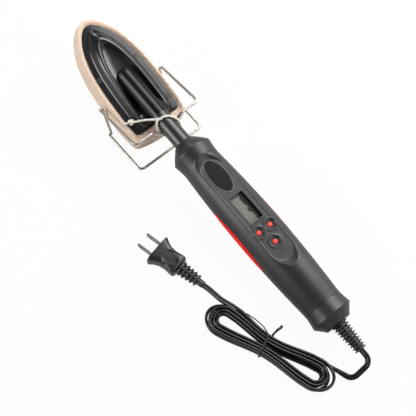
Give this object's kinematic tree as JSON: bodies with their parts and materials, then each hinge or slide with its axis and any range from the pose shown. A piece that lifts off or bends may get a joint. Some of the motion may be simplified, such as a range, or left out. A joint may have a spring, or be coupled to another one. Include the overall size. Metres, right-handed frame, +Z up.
{
  "type": "sealing iron on wire stand",
  "caption": "Film covering iron: barrel handle with display and push buttons, boat-shaped hot shoe in a tied cotton sock, bent wire stand, flat cord tied in a hank with plug.",
  "frame": {"origin": "on the table under the middle of the iron and its stand, cord and plug left out", "axes": "+X along the iron toward the tip of its shoe, +Y to the left seen from the handle, +Z up"},
  "size_m": [0.4172, 0.1279, 0.0687],
  "materials": {
    "nickel_wire": "drawn wire, plated",
    "sole_aluminium": "machined",
    "heater_steel": "dull",
    "sensor_brass": "dull",
    "cover_black": "gloss black coating",
    "screw_steel": "zinc plated",
    "cotton_sock": "woven cotton",
    "cotton_string": "twisted cotton",
    "shaft_black": "gloss black coating",
    "collar_grey": "satin moulding",
    "handle_grey": "satin moulding",
    "accent_red": "gloss moulding",
    "label_plain": "bare plate",
    "display_glass": "clear",
    "lcd_green": "unlit display",
    "board_green": "lacquered board",
    "switch_black": "moulding",
    "cord_black": "moulded",
    "tie_black": "coated wire",
    "lead_white": "sleeved",
    "blade_nickel": "nickel plated"
  },
  "bodies": {
    "stand": {"wire_stand": "nickel_wire"},
    "iron": {"sole_plate": "sole_aluminium", "heating_element": "heater_steel", "thermal_sensor": "sensor_brass", "shoe_cover": "cover_black", "cover_screws": "screw_steel", "cover_sock": "cotton_sock", "sock_drawstring": "cotton_string", "shaft_tube": "shaft_black", "front_collar": "collar_grey", "upper_shell": "handle_grey", "lower_shell": "handle_grey", "end_cap": "handle_grey", "side_strip_left": "accent_red", "side_strip_right": "accent_red", "label_plate": "label_plain", "display_window": "display_glass", "lcd_module": "lcd_green", "circuit_board": "board_green", "tact_switches": "switch_black", "handle_screws": "screw_steel", "strain_relief": "cord_black", "heater_leads": "lead_white", "iron_cord": "cord_black", "cord_hank": "cord_black", "plug_cord": "cord_black", "twist_tie": "tie_black", "plug_relief": "cord_black", "plug_body": "cord_black", "plug_blades": "blade_nickel"},
    "button_up": {"button_up": "accent_red"},
    "button_down": {"button_down": "accent_red"},
    "button_power": {"button_power": "accent_red"}
  },
  "joints": [
    {"name": "lift", "type": "slide", "parent": "stand", "child": "iron", "axis": [0, 0, 1], "range_m": [0, 0.12]},
    {"name": "button_up_press", "type": "slide", "parent": "iron", "child": "button_up", "axis": [0.1045, 0, -0.9945], "range_m": [0, 0.0008], "stiffness_N_per_m": 400},
    {"name": "button_down_press", "type": "slide", "parent": "iron", "child": "button_down", "axis": [0.1045, 0, -0.9945], "range_m": [0, 0.0008], "stiffness_N_per_m": 400},
    {"name": "button_power_press", "type": "slide", "parent": "iron", "child": "button_power", "axis": [0.1045, 0, -0.9945], "range_m": [0, 0.0008], "stiffness_N_per_m": 400}
  ]
}
